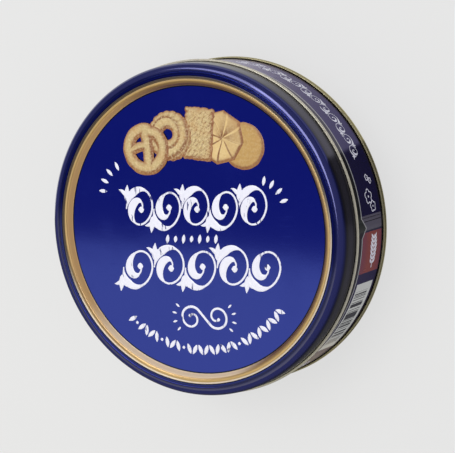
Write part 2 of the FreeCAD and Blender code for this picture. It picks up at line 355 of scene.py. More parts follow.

# The lid's gold band, in painted lit and shaded tones: its crown and hollow, the slope beside the panel,
# the groove and the ridge
GOLD = (0.62, 0.42, 0.19)
GOLD_HOLLOW_SHADE = (0.48, 0.28, 0.09)
GOLD_SHADED = (0.26, 0.16, 0.07)
SLOPE_SHADE = (0.17, 0.085, 0.045)
SLOPE_LIT = (0.58, 0.35, 0.14)
SLOPE_BRIGHT = (0.80, 0.62, 0.42)
GROOVE_SHADE = (0.08, 0.055, 0.025)
GROOVE_LIT = (0.50, 0.34, 0.16)
RIDGE_SHADE = (0.07, 0.05, 0.035)
RIDGE_LIT = (0.70, 0.59, 0.46)

# Bare metal, lacquer and sealing compound
SEAM_METAL = (0.060, 0.054, 0.085)
SEAM_METAL_BRIGHT = (0.11, 0.10, 0.14)
TIN = (0.72, 0.70, 0.62)
TIN_DEEP = (0.60, 0.54, 0.42)
TIN_LID = (0.62, 0.60, 0.48)
LACQUER = (0.52, 0.47, 0.27)
LACQUER_DEEP = (0.42, 0.37, 0.19)
# Painted shade and dark reflection for the groove round the double seam
SEAM_GROOVE_SHADE = (0.075, 0.065, 0.035)
COMPOUND = (0.20, 0.18, 0.15)
COMPOUND_PALE = (0.30, 0.28, 0.24)

# Rings of the lid by distance from the axis: inner edge, outer edge, softness of the edges
# The two shade-line rings are dark lines of painted shade in the creases at the foot of the gold band and
# beside its ridge.
INNER_SHADE_LINE = (82.3, 83.0, 0.15)
SLOPE = (82.75, 84.2, 0.4)
GILDING = (82.8, 88.3, 0.1)
GILDED_METAL = (82.9, 88.3, 0.2)
WIDE_SLOPE = (83.4, 85.2, 0.5)
HOLLOW = (84.2, 85.6, 1.4)
SHADED = (85.6, 86.7, 0.5)
GROOVE = (86.75, 87.40, 0.2)
RIDGE = (87.5, 88.3, 0.2)
OUTER_SHADE_LINE = (88.35, 88.9, 0.12)
PINCH = (90.3, 90.8, 0.35)
SHEEN = (91.4, 95.0, 1.2)

# Patches of the wall: angles round the axis, then heights
STRIPED_PANEL = ((-50.0, -21.0), (7.0, 27.6))
STRIPES = ((-47.0, -24.0), (10.5, 26.0))
RED_PANEL = ((-17.2, -2.8), (3.5, 29.6))

# Folds of the side seam (start angle, end angle, softness) and the upper edge of the print
SEAM_FOLDS = ((-2.5, -2.15, 0.1), (0.75, 1.05, 0.12), (2.0, 2.2, 0.12))
MARGIN_HEIGHT = 29.8


def tin_bump(skin):
    """Slight waves of thin sheet and the fine peel of its lacquer."""
    waves = skin.bump(skin.noise(22.0, 1.0), 0.05)
    return skin.bump(skin.noise(900.0, 2.0), 0.004, waves)


def smudges(skin, clean, handled):
    """Roughness that varies with faint handling marks and hairline scuffs."""
    marks = skin.step(skin.noise(30.0, 5.0), 0.45, 0.75)
    hair = skin.step(skin.noise(60.0, 3.0, (1, 14, 1)), 0.62, 0.72)
    return skin.blend(clean, (skin.most(marks, hair), handled))


def gold_band(skin, r):
    """Colour of the gold band with its groove and ridge, in painted light and shade that change round the
    tin, and a mask of the slope inside it.
    """
    turn = skin.turn()
    # Painted light: the slope is lit on the tin's left side and shaded elsewhere, with a painted glint at
    # its lower part.
    lit_left = skin.step(skin.calc("ABSOLUTE", turn), 92.0, 130.0)
    glint = skin.zone(turn, -142.0, -66.0, 24.0)
    # Painted light on the ridge and groove where they face the lower right, painted shade round the rest
    # of the tin.
    lit_front = skin.zone(turn, -160.0, 5.0, 30.0)
    shaded = skin.times(skin.zone(turn, -170.0, -122.0, 24.0), skin.zone(r, *SHADED))
    wide = skin.times(skin.most(lit_left, glint), skin.zone(r, *WIDE_SLOPE))
    slope = skin.most(skin.zone(r, *SLOPE), wide)
    band = skin.layers(
        GOLD,
        # Painted shade in the hollow of the band.
        (skin.zone(r, *HOLLOW), GOLD_HOLLOW_SHADE),
        (slope, skin.layers(SLOPE_SHADE, (lit_left, SLOPE_LIT), (glint, SLOPE_BRIGHT))),
        (shaded, GOLD_SHADED),
        (skin.step(r, 87.3, 87.5), skin.mix(lit_front, RIDGE_SHADE, RIDGE_LIT)),
        (skin.zone(r, *GROOVE), skin.mix(lit_front, GROOVE_SHADE, GROOVE_LIT)))
    return band, slope


def blue_and_skirt(skin, r, z, sheen, side):
    """The lid's blue, darker towards the rim with a painted sheen over the shoulder, and the almost black
    skirt below it with a painted grey reflection across its middle.
    """
    blue = skin.mix(skin.noise(14.0, 2.0), PANEL_BLUE, PANEL_BRIGHT)
    # Painted sheen: a paler, less metallic blue over the shoulder stands in for its reflection.
    blue = skin.layers(blue, (skin.step(r, 88.0, 90.0), RIM_BLUE), (sheen, RIM_SHEEN))
    # Painted reflection: the skirt is paler grey across its middle height.
    skirt = skin.mix(skin.zone(z, 43.3, 49.5, 3.2), SKIRT_NAVY, SKIRT_REFLECTION_GREY)
    grain = skin.noise(90.0, 3.0, (1, 1, 12))
    skirt = skin.mix(skin.times(grain, 0.5), skirt, SKIRT_NAVY)
    return skin.mix(side, blue, skirt)


def lid_print():
    """Blue print, gold band and ridge, dark skirt, by distance from the axis and height."""
    skin = Skin("lid_print")
    r = skin.radius()
    z = skin.height()
    on_top = skin.step(z, PANEL_HEIGHT - 0.3, PANEL_HEIGHT - 0.1)
    side = skin.times(skin.step(z, 53.4, 51.2), skin.step(r, 91.0, 93.0))
    sheen = skin.zone(r, *SHEEN)
    gilded = skin.times(skin.zone(r, *GILDED_METAL), on_top)
    band, slope = gold_band(skin, r)
    # Painted shade: dark lines in the creases at the foot of the gold band and beside its ridge.
    shade_lines = skin.most(skin.zone(r, *INNER_SHADE_LINE), skin.zone(r, *OUTER_SHADE_LINE))
    colour = skin.layers(
        blue_and_skirt(skin, r, z, sheen, side),
        (skin.times(skin.zone(r, *GILDING), on_top), band),
        (skin.times(shade_lines, on_top), SHADE_AND_JOINT_DARK))
    pinch = skin.times(skin.zone(r, *PINCH), on_top)
    gold_metal = skin.blend(0.65, (skin.step(r, 86.8, 87.2), 0.35))
    return skin.finish(
        Base_Color=colour,
        Metallic=skin.blend(1.0, (gilded, gold_metal), (sheen, 0.6),
                            (skin.times(slope, on_top), 0.2), (side, 0.8)),
        Roughness=skin.blend(smudges(skin, 0.08, 0.14), (gilded, 0.30),
                             (skin.zone(r, *RIDGE), 0.45), (side, 0.19)),
        Coat_Weight=skin.blend(0.2, (skin.step(r, 88.8, 91.8), 0.8), (side, 0.1)),
        Coat_Roughness=0.12,
        Normal=skin.bump(pinch, 0.12, tin_bump(skin)))


def wall_print():
    """Navy print with a white striped panel, a red panel and the bare side seam; painted shade darkens
    the wall above the print and at its foot.
    """
    skin = Skin("wall_print")
    turn = skin.turn()
    z = skin.height()
    striped = skin.patch(*STRIPED_PANEL)
    red = skin.patch(*RED_PANEL)
    brick = skin.mix(skin.zone(z, 9.0, 24.0, 8.0), BRICK, BRICK_BRIGHT)
    lap = skin.zone(turn, LOCK_START - 0.4, LOCK_END + 0.9, 0.12)
    bare = skin.mix(skin.noise(300.0, 2.0, (1, 1, 0.1)), SEAM_METAL, SEAM_METAL_BRIGHT)
    folds = skin.most(*[skin.zone(turn, *fold) for fold in SEAM_FOLDS])
    above = print_margin(skin, turn, z)
    line = skin.zone(above, 0.1, 1.1, 0.3)
    colour = skin.layers(
        skin.mix(skin.noise(16.0, 2.0), NAVY, NAVY_BRIGHT),
        (striped, stripes(skin, turn)),
        (red, brick),
        (lap, skin.mix(folds, bare, SHADE_AND_JOINT_DARK)),
        # Painted shade and dark reflection on the bare margin above the print, under the lid's rolled
        # edge.
        (skin.step(above, 0.0, 0.3), MARGIN_SHADE),
        (line, MARGIN_PALE),
        # Painted shade at the foot of the wall, just above the double seam.
        (skin.step(z, 5.2, 4.7), SHADE_AND_JOINT_DARK))
    inked = skin.most(striped, red, lap, line)
    return skin.finish(Base_Color=colour, Metallic=skin.blend(0.7, (inked, 0.0)),
                       Normal=tin_bump(skin), Roughness=smudges(skin, 0.18, 0.28),
                       Coat_Weight=0.12, Coat_Roughness=0.08, Specular_Tint=(0.88, 0.80, 1.0))


def print_margin(skin, turn, z):
    """Height above the upper edge of the print, which dips in a V where the side seam ends."""
    aside = skin.calc("ABSOLUTE", skin.calc("ADD", turn, 1.3))
    dip = skin.times(skin.calc("SUBTRACT", 3.4, aside), 1.6)
    return skin.calc("SUBTRACT", skin.calc("ADD", z, skin.calc("MAXIMUM", dip, 0.0)), MARGIN_HEIGHT)


def stripes(skin, turn):
    """Plain dark stripes of uneven width on white; they stand for nothing."""
    steps = skin.calc("FLOOR", skin.times(turn, 3.4))
    chance = skin.node("TexWhiteNoise", {"W": steps}, noise_dimensions="1D")
    bars = skin.calc("GREATER_THAN", chance.outputs["Value"], 0.46)
    return skin.mix(skin.times(bars, skin.patch(*STRIPES, soft=0.1)), BAR_WHITE, BAR_DARK)


def inside_lacquer(name, colour=TIN, metal=0.75):
    """Tinplate under clear gold lacquer, with the grain of the rolled sheet."""
    skin = Skin(name)
    grain = skin.noise(420.0, 3.0, (1, 0.05, 1))
    tone = skin.mix(skin.noise(40.0, 3.0), colour, TIN_DEEP)
    return skin.finish(Base_Color=tone, Metallic=metal, Normal=skin.bump(grain, 0.006),
                       Roughness=smudges(skin, 0.22, 0.34))


def seam_lacquer():
    """Gold lacquer outside the bottom; a dark band round the seam, in the shallow groove the seaming roll
    left, is painted shade and dark reflection.
    """
    skin = Skin("gold_lacquer")
    band = skin.times(skin.zone(skin.height(), 1.75, 2.65, 0.5), skin.step(skin.radius(), 95.6, 95.9))
    tone = skin.mix(skin.noise(40.0, 3.0), LACQUER, LACQUER_DEEP)
    return skin.finish(Base_Color=skin.mix(band, tone, SEAM_GROOVE_SHADE), Metallic=0.6,
                       Normal=skin.bump(band, -0.05), Roughness=smudges(skin, 0.25, 0.37),
                       Specular_Tint=(0.80, 0.72, 0.42))


def compound_material():
    """Rubbery sealing compound, mottled and matt."""
    skin = Skin("seam_compound")
    tone = skin.mix(skin.noise(300.0), COMPOUND, COMPOUND_PALE)
    return skin.finish(Base_Color=tone, Roughness=0.8, Normal=skin.bump(skin.noise(800.0), 0.03))


def printed_white(name, under):
    """White ink whose dry strokes let the colour under it through."""
    skin = Skin(name)
    dry = skin.noise(260.0, 4.0, (2.2, 0.55, 1))
    thin = skin.step(skin.noise(70.0, 2.0), 0.47, 0.60)
    gap = skin.times(skin.step(dry, 0.60, 0.64), thin)
    return skin.finish(Base_Color=skin.mix(gap, INK_WHITE, under), Roughness=0.35,
                       Coat_Weight=0.3, Normal=skin.bump(skin.noise(700.0), 0.01))


# Cookies: each tone from the deepest to the palest; crumb tones are given with their share of sugar
PRINT_SHADOW = (0.20, 0.07, 0.014)
PRINT_RIM = (0.27, 0.085, 0.018)
PRINT_CRACK = (0.42, 0.20, 0.05)
PRINT_TOAST = (0.50, 0.26, 0.08)
PRINT_SUGAR = (0.78, 0.64, 0.38)
PRINT_CRUMBS = {
    "pale": ((0.52, 0.39, 0.18), 0.40),
    "golden": ((0.47, 0.28, 0.075), 0.12),
    "cream": ((0.66, 0.47, 0.20), 0.18),
}
CRUST = (0.46, 0.22, 0.06)
CRUMB = (0.80, 0.56, 0.27)
SUGAR = (0.88, 0.72, 0.45)


def printed_cookie(kind):
    """Printed picture of biscuit: painted light, browner rims, sugar specks."""
    skin = Skin("printed_" + kind)
    crumb, sugar = PRINT_CRUMBS[kind]
    light = skin.step(skin.attribute("light"), 0.10, 0.95)
    speck = skin.step(skin.noise(800.0, 3.0), 0.42, 0.66)
    crack = skin.step(skin.noise(520.0, 4.0), 0.55, 0.68)
    toast = skin.step(skin.noise(110.0, 3.0), 0.45, 0.75)
    tone = skin.layers(
        PRINT_SHADOW,
        (light, crumb),
        (skin.times(speck, sugar), PRINT_SUGAR),
        (skin.times(crack, sugar), PRINT_CRACK),
        (skin.times(skin.attribute("rim"), 0.85), PRINT_RIM),
        (skin.times(toast, 0.30), PRINT_TOAST))
    return skin.finish(Base_Color=tone, Roughness=0.4, Coat_Weight=0.2,
                       Normal=skin.bump(skin.noise(900.0, 3.0), 0.03))


def baked_cookie():
    """Baked butter dough: pale crumb, browner rims, pores and grains of sugar."""
    skin = Skin("baked_cookie")
    uneven = skin.times(skin.noise(60.0, 4.0), 0.35)
    toast = skin.calc("ADD", skin.attribute("rim"), uneven, clamp=True)
    grains = skin.times(skin.step(skin.cells(900.0), 0.30, 0.10), 0.25)
    tone = skin.layers(CRUMB, (toast, CRUST), (grains, SUGAR))
    pores = skin.bump(skin.noise(420.0, 5.0, roughness=0.65), 0.5)
    crumbs = skin.bump(skin.cells(700.0), 0.15, pores)
    return skin.finish(Base_Color=tone, Roughness=0.78, Normal=crumbs,
                       Subsurface_Weight=0.08, Subsurface_Scale=0.002)


def paper_material(name, tone, shade):
    """Soft white paper with visible fibres."""
    skin = Skin(name)
    fibre = skin.noise(500.0, 5.0, (1, 3, 1))
    mottled = skin.mix(skin.step(fibre, 0.3, 0.7), shade, tone)
    return skin.finish(Base_Color=mottled, Roughness=0.75, Sheen_Weight=0.15,
                       Normal=skin.bump(fibre, 0.06))


# ---- ornament


def on_lid(x, y, rise):
    """A point of the lid's flat panel from ornament units."""
    return (x * PRINT, y * PRINT, PANEL_HEIGHT + rise)


def on_wall(turn, z, rise):
    """A point of the wall from an angle in degrees and a height."""
    return (*polar(WALL_RADIUS + rise, turn), z)


class Ornament:
    """Strokes of raised ink that make one piece; unit is the millimetres per step of x and y."""

    def __init__(self, place, thickness, unit):
        self.place = place
        self.thickness = thickness
        self.unit = unit
        self.stretch = np.array([1.0, unit[0] / unit[1]])
        self.points = []
        self.faces = []

    def stroke(self, line, widths):
        """A ribbon with a rounded top along a line; widths are half-widths along it."""
        line = np.asarray(line, float)
        unit = np.asarray(self.unit)
        ahead = np.gradient(line * unit, axis=0)
        ahead /= np.maximum(np.linalg.norm(ahead, axis=1), 1e-9)[:, None]
        across = np.stack([-ahead[:, 1], ahead[:, 0]], axis=1) / unit
        first = len(self.points)
        profile = [(-1.0, 0.02), (-0.86, 0.8), (0.0, 1.0), (0.86, 0.8), (1.0, 0.02)]
        for (x, y), (ax, ay), w in zip(line, across, widths):
            reach = w * self.unit[0]
            for share, rise in profile:
                self.points.append(self.place(x + ax * reach * share, y + ay * reach * share,
                                              self.thickness * rise))
        self.faces.extend(loft_faces(len(line), len(profile), first))

    def drop(self, x, y, length, width, heading):
        """A lozenge-shaped tick or leaf, centred on a point, heading in degrees."""
        shares = np.linspace(-0.5, 0.5, 9)
        line = np.array([x, y]) + np.outer(shares * length, polar(1, heading) * self.stretch)
        self.stroke(line, 0.5 * width * np.maximum(np.cos(shares * pi) ** 0.7, 0.06))

    def leaf(self, x, y, length, width, heading, curl):
        """A pointed leaf that starts at a point and bends by curl degrees to its tip."""
        shares = np.linspace(0.0, 1.0, 15)
        steps = np.stack(polar(length / 14, heading + curl * shares), axis=1) * self.stretch
        line = np.array([x, y]) + np.cumsum(steps, axis=0) - steps[0]
        swell = np.sin(pi * shares ** 0.8) ** 0.8
        self.stroke(line, 0.5 * width * np.maximum(swell, 0.05))

    def dot(self, x, y, radius):
        self.drop(x, y, 2 * radius, 2 * radius, 0)

    def scroll(self, x, y, across, up, sign, weight, lean):
        """An oval scroll that keeps its size for half a turn and then winds inwards."""
        turns = 1.55
        hold = 0.5
        shares = np.linspace(0.0, 1.0, int(52 * turns))
        wound = np.clip((shares * turns - hold) / (turns - hold), 0, 1)
        size = 1 - 0.84 * wound
        angles = pi + sign * 2 * pi * turns * shares
        rise = up * size * np.sin(angles)
        line = np.stack([x + across * size * np.cos(angles) + lean * rise / self.stretch[1],
                         y + rise], axis=1)
        thick = 0.22 + 0.78 * np.clip(-np.cos(angles - sign * 0.35), 0, 1) ** 0.9
        ends = np.clip(shares / 0.10, 0.15, 1) * (1 - 0.20 * wound)
        self.stroke(line, 0.5 * weight * thick * ends)
        self.dot(*line[-1], weight * 0.34)

    def scrollwork(self, left, right, middle, tall, count, weight, lean, up):
        """Running scroll: ovals wound in turn over and under, with leaves between them."""
        pitch = (right - left) / count
        for k in range(count):
            side = 1 if (k % 2 == 0) == up else -1
            self.scroll(left + pitch * (k + 0.5), middle, pitch * 0.47, tall * 0.42, -side, weight, lean)
            self.palmette(left + pitch * k, middle, tall, weight, lean, side)

    def palmette(self, x, y, tall, weight, lean, side):
        """Three slender leaves that fill the notch between two scrolls, above or below them."""
        foot = y + side * tall * 0.16
        x += lean * side * tall * 0.16 / self.stretch[1]
        size = tall / self.stretch[1]
        upright = 90 * side - degrees(atan(lean))
        self.leaf(x, foot, size * 0.36, weight * 0.62, upright, 0)
        for spread in (-1, 1):
            self.leaf(x, foot + side * tall * 0.10, size * 0.24, weight * 0.42,
                      upright + spread * 22, spread * 62)

    def build(self, name, body, material):
        dress(mesh(name, self.points, self.faces, body), material)


def lid_ornament():
    """Two bands of running scroll, ticks beside them, an S scroll and a wreath below."""
    art = Ornament(on_lid, 0.16, (PRINT, PRINT))
    art.scrollwork(-0.480, 0.500, 0.133, 0.285, 5, 0.058, 0.16, True)
    art.scrollwork(-0.530, 0.570, -0.226, 0.290, 5, 0.060, 0.16, False)
    for k in range(7):
        art.drop(-0.196 + 0.056 * k, -0.052, 0.042 if k % 2 else 0.056, 0.024, 78)
    ray_fan(art, (-0.45, 0.225), 0.185, (113, 134, 154, 174))
    ray_fan(art, (0.446, 0.124), 0.175, (76, 58, 38, 17))
    s_scroll(art)
    wreath(art)
    art.build("lid_ornament", "lid", printed_white("white_print", INK_GAP_BLUE))


def ray_fan(art, centre, reach, headings):
    """Short ticks that point away from a centre."""
    for heading in headings:
        art.drop(*polar(reach, heading, centre), 0.058, 0.022, heading)


def s_scroll(art):
    """Two spirals joined by one falling stroke, with ticks at both ends."""
    left = (-0.062, -0.534)
    right = (0.112, -0.524)
    reach = 0.070
    weight = 0.0078
    turns = 1.2
    ends = []
    for centre, start in ((left, 52), (right, 232)):
        shares = np.linspace(0, 1, 60)
        radii = reach * (1 - 0.72 * np.clip(shares * 1.35 - 0.3, 0, 1))
        line = np.stack(polar(radii, start + 360 * turns * shares, centre), axis=1)
        art.stroke(line, np.linspace(weight, 0.006, 60))
        art.dot(*line[-1], 0.011)
        ends.append(line[0])
    art.stroke(np.linspace(*ends, 9), [weight] * 9)
    for side, x in ((-1, left[0]), (1, right[0])):
        for spread in (-40, -14, 14, 40):
            angle = radians(90 - side * (90 - spread))
            middle = (left[1] + right[1]) / 2
            art.drop(x + 0.122 * cos(angle), middle + 0.112 * sin(angle),
                     0.032, 0.013, degrees(angle))


def wreath(art):
    """An arc of leaning leaves in groups, below the S scroll."""
    count = 30
    reach = 0.728
    for k in range(count):
        turn = -131.5 + 90.0 * k / (count - 1)
        place = polar(reach, turn)
        if k in (1, 6, 10, 20):
            art.dot(*place, 0.010)
        else:
            art.drop(*place, 0.066, 0.026, turn + (24 if k % 2 else -24))


def wall_ornament():
    """White running scroll and outline flowers round the printed wall."""
    art = Ornament(on_wall, 0.07, (WALL_RADIUS * pi / 180, 1.0))
    for first, last, count in ((23, 81, 13), (112, 170, 13), (201, 259, 13), (270, 302, 7)):
        art.scrollwork(first, last, 16.4, 9.8, count, 0.95, 0.14, True)
    for middle in (9.0, 97.0, 186.0):
        flowers(art, middle)
    sprig(art, -9.8)
    art.build("wall_ornament", "tin", printed_white("wall_white_print", NAVY))


def flowers(art, turn):
    """Two large outline flowers and two small ones beside them."""
    for shift, z, size in ((0.0, 17.6, 2.45), (-3.5, 13.8, 1.85), (6.4, 14.4, 1.05), (5.2, 11.4, 0.95)):
        shares = np.linspace(0, 2 * pi, 91)
        reach = size * (0.74 + 0.30 * np.abs(np.cos(2.5 * shares + shift)))
        line = np.stack([turn + shift + reach * np.cos(shares),
                         z + reach * np.sin(shares) * art.stretch[1]], axis=1)
        art.stroke(line, [0.17] * 91)
        art.dot(turn + shift, z, 0.18 * size)


def sprig(art, turn):
    """A plain leaf sprig in the middle of the red panel."""
    for k in range(-3, 4):
        for side in (-1, 1):
            art.leaf(turn + 1.45 * k, 14.6 + side * 0.4, 3.3 - 0.28 * abs(k), 1.0, side * 60, -side * 30)
    art.stroke([(turn - 6.0 + 0.58 * s, 14.6) for s in range(21)], [0.20] * 21)


# ---- cookies


def segment_distance(x, y, line):
    """Distance from grid points to a line of short segments."""
    best = np.full(x.shape, 1e9)
    for (ax, ay), (bx, by) in zip(line[:-1], line[1:]):
        dx, dy = bx - ax, by - ay
        share = np.clip(((x - ax) * dx + (y - ay) * dy) / max(dx * dx + dy * dy, 1e-12), 0, 1)
        best = np.minimum(best, np.hypot(x - ax - share * dx, y - ay - share * dy))
    return best


def waves(x, y, seed, pitch):
    """Smooth seeded unevenness between about -1 and 1."""
    rng = np.random.default_rng(seed)
    total = np.zeros(x.shape)
    for _ in range(14):
        angle, phase = rng.uniform(0, 2 * pi, 2)
        rate = rng.uniform(0.6, 1.6) * 2 * pi / pitch
        total += np.sin((x * cos(angle) + y * sin(angle)) * rate + phase)
    return total / 5.0


def pretzel_form(x, y, size):
    """A thick rope ring with a strand across it and a second one to its side: three holes."""
    turns = np.linspace(0, 2 * pi, 65)
    reaches = 0.74 * size * (1 - 0.11 * np.exp(-((turns - radians(68)) / 0.24) ** 2))
    ring = list(zip(reaches * np.cos(turns), reaches * np.sin(turns)))
    wide = 0.245 * size * (1 + 0.05 * waves(x, y, 5, size * 0.6))
    near = segment_distance(x, y, ring) - wide
    height = dome(near, wide)
    across = ((-0.02, 0.70), (0.06, 0.30), (0.10, -0.10), (0.09, -0.70))
    aside = ((0.05, 0.12), (-0.30, 0.08), (-0.70, -0.06))
    for k, strand in enumerate((aside, across)):
        narrow = (0.185 + 0.045 * k) * size * (1 + 0.04 * waves(x, y, 6 + k, size * 0.5))
        edge = segment_distance(x, y, [(size * px, size * py) for px, py in strand]) - narrow
        height = np.maximum(height, dome(edge, narrow) * (0.96 + 0.05 * k))
        near = np.minimum(near, edge)
    return near, 0.30 + 0.66 * height


def half_round(share):
    """Height of a half round, 1 at share 0 and 0 at share 1 and beyond."""
    return np.sqrt(np.clip(1 - share ** 2, 0, 1))


def dome(edge, wide):
    """Half-round height of a rope whose edge is zero at its side."""
    return half_round(np.clip(edge + wide, 0, None) / wide)


def ring_form(x, y, size):
    """A piped ring: two half-round ridges, a serrated rim and a small hole off centre."""
    r = np.hypot(x, y)
    angle = np.arctan2(y, x)
    hole = np.hypot(x + 0.10 * size, y - 0.06 * size)
    teeth = 0.035 * size * np.abs(np.sin(angle * 10 + 0.6))
    edge = np.maximum(r - 0.94 * size - teeth, 0.21 * size - hole)
    share = (hole / size - 0.21) / np.maximum(r / size - hole / size + 0.75, 0.2)
    outer = half_round((share - 0.76) / 0.27)
    inner = half_round((share - 0.26) / 0.27)
    piping = 0.03 * np.sin(angle * 20 + share * 9)
    return edge, 0.28 + np.maximum(0.60 * outer + piping * outer, 0.66 * inner)


def bar_form(x, y, size):
    """A rectangular cookie with a rough sugared top."""
    corner = 0.08 * size
    dx = np.abs(x) - 0.545 * size + corner
    dy = np.abs(y) - 0.87 * size + corner
    edge = np.hypot(np.maximum(dx, 0), np.maximum(dy, 0)) + np.minimum(np.maximum(dx, dy), 0)
    rough = 0.020 * size * waves(x, y, 9, size * 0.25)
    grain = sum(waves(x, y, 21 + k, size * pitch) for k, pitch in enumerate((0.21, 0.12, 0.07)))
    return edge - corner + rough, 0.84 + 0.035 * grain


def wheel_form(x, y, size):
    """An eight-sided cookie whose folds run from an off-centre hub to the corners."""
    angle = np.arctan2(y, x)
    r = np.hypot(x, y)
    sector = (angle + pi / 8) % (pi / 4) - pi / 8
    edge = r * np.cos(sector) - size * 0.93
    hx, hy = x - 0.08 * size, y + 0.05 * size
    from_hub = np.hypot(hx, hy)
    fold = (np.arctan2(hy, hx) + pi / 8 + 0.10 * np.sin(from_hub / size * 3)) % (pi / 4)
    saw = fold / (pi / 4)
    pleat = np.where(saw < 0.89, saw / 0.89, (1 - saw) / 0.11)
    middle = np.exp(-(from_hub / (0.10 * size)) ** 2)
    height = 0.56 + 0.28 * pleat * np.clip(from_hub / (0.3 * size), 0, 1) ** 0.5
    return edge, height - 0.22 * middle


def round_form(x, y, size):
    """A plain round cookie with a faintly domed, uneven top."""
    r = np.hypot(x, y)
    edge = r - size * (0.97 + 0.008 * waves(x, y, 31, size * 0.6))
    return edge, 0.84 + 0.08 * (1 - (r / size) ** 2) + 0.02 * waves(x, y, 33, size * 0.3)


FORMS = {"pretzel": pretzel_form, "ring": ring_form, "bar": bar_form, "wheel": wheel_form,
         "round": round_form}
PRINT_RELIEF = 0.18
STACK_PITCH = 10.3
STACK_COUNT = 4
COOKIE_REACH = 27.3


def rounded_top(form, size, thickness, x, y):
    """Distance past a form's outline and height of its top, rounded off towards the outline."""
    edge, relief = form(x, y, size)
    inside = np.clip(-edge / (0.16 * size), 0, 1)
    return edge, thickness * relief * half_round(1 - inside)


def settle(form, size, x, y):
    """Move points onto the outline of a form along its slope."""
    tiny = size * 1e-3
    for _ in range(4):
        edge = form(x, y, size)[0]
        gx = (form(x + tiny, y, size)[0] - edge) / tiny
        gy = (form(x, y + tiny, size)[0] - edge) / tiny
        steep = np.maximum(gx * gx + gy * gy, 0.2)
        x, y = x - edge * gx / steep, y - edge * gy / steep
    return x, y


def cookie_shell(kind, size, thickness, cells):
    """Points, faces and painted values (rim and light) of one cookie, standing on height 0."""
    form = FORMS[kind]
    axis = np.linspace(-1.12 * size, 1.12 * size, cells)
    x, y = (grid.ravel() for grid in np.meshgrid(axis, axis, indexing="ij"))
    kept = form(x, y, size)[0] < 0.35 * (axis[1] - axis[0])
    index = np.arange(cells * cells).reshape(cells, cells)
    quads = np.stack([index[:-1, :-1], index[1:, :-1], index[1:, 1:], index[:-1, 1:]], axis=-1)
    quads = quads.reshape(-1, 4)
    used, quads = np.unique(quads[kept[quads].all(axis=1)], return_inverse=True)
    quads = quads.reshape(-1, 4)
    x, y = x[used], y[used]
    border = border_points(quads, len(used))
    x[border], y[border] = settle(form, size, x[border], y[border])
    edge, top = rounded_top(form, size, thickness, x, y)
    base = thickness * 0.10 * (1 - np.clip(-edge / (0.10 * size), 0, 1)) ** 2
    top = np.maximum(top, base + 0.02 * thickness)
    top[border] = thickness * 0.14
    painted = {"rim": np.exp(-np.clip(-edge, 0, None) / (0.075 * size)),
               "light": painted_light(form, size, thickness, x, y)}
    inner = np.flatnonzero(~border)
    below = np.arange(len(x))
    below[inner] = len(x) + np.arange(len(inner))
    points = np.concatenate([np.stack([x, y, top], 1), np.stack([x, y, base], 1)[inner]])
    faces = np.concatenate([quads, below[quads][:, ::-1]])
    for label, values in painted.items():
        painted[label] = np.concatenate([values, values[inner]])
    return points, faces, painted


def border_points(quads, count):
    """True for points on an edge that only one quad uses."""
    edges = np.sort(np.concatenate([quads[:, [k, (k + 1) % 4]] for k in range(4)]), axis=1)
    pairs, uses = np.unique(edges, axis=0, return_counts=True)
    border = np.zeros(count, bool)
    border[pairs[uses == 1].ravel()] = True
    return border


def painted_light(form, size, thickness, x, y):
    """How brightly a lamp at the upper left lights the full-height form, 0 to 1."""
    tiny = size * 0.02

    def top(px, py):
        return rounded_top(form, size, thickness, px, py)[1]

    gx = (top(x + tiny, y) - top(x - tiny, y)) / (2 * tiny)
    gy = (top(x, y + tiny) - top(x, y - tiny)) / (2 * tiny)
    facing = (0.50 * gx - 0.70 * gy + 1.0) / np.sqrt(gx * gx + gy * gy + 1)
    low = np.clip(top(x, y) / thickness, 0, 1)
    return np.clip(0.85 * facing + 0.45 * low - 0.42, 0, 1)


def cookie_piece(name, kind, size, thickness, cells, places, body, material, node=None):
    """One object holding a cookie shell at each place, which is a matrix."""
    points, faces, painted = cookie_shell(kind, size, thickness, cells)
    count = len(places)
    placed = []
    for place in places:
        matrix = np.array(place)
        placed.append(points @ matrix[:3, :3].T + matrix[:3, 3])
    joined = np.concatenate([faces + k * len(points) for k in range(count)])
    piece = mesh(name, np.concatenate(placed), joined.tolist(), body)
    for label, values in painted.items():
        store = piece.data.attributes.new(label, "FLOAT", "POINT")
        store.data.foreach_set("value", np.tile(values, count).astype(np.float32))
    dress(piece, material, node=node)


def printed_cookies():
    """The five kinds of cookie pictured on the lid, overlapping in low relief.

    The layout gives each one's crumb, place and reach in ornament units, turn and rise.
    """
    inks = {crumb: printed_cookie(crumb) for crumb in PRINT_CRUMBS}
    layout = (
        ("round", "golden", 0.366, 0.502, 0.145, 0, 0.03),
        ("wheel", "cream", 0.215, 0.556, 0.163, 11, 0.14),
        ("bar", "pale", 0.070, 0.580, 0.182, -7, 0.26),
        ("ring", "pale", -0.128, 0.573, 0.157, 0, 0.38),
        ("pretzel", "pale", -0.302, 0.497, 0.163, 0, 0.52),
    )
    for kind, crumb, x, y, reach, turn, rise in layout:
        size = reach * PRINT
        thickness = 0.35 * size
        matrix = Matrix.Translation(on_lid(x, y, rise))
        matrix = matrix @ Matrix.Rotation(radians(turn), 4, "Z")
        matrix = matrix @ Matrix.Diagonal((1, 1, PRINT_RELIEF / thickness, 1))
        cookie_piece(f"printed_{kind}", kind, size, thickness, 120, [matrix], "lid",
                     inks[crumb])


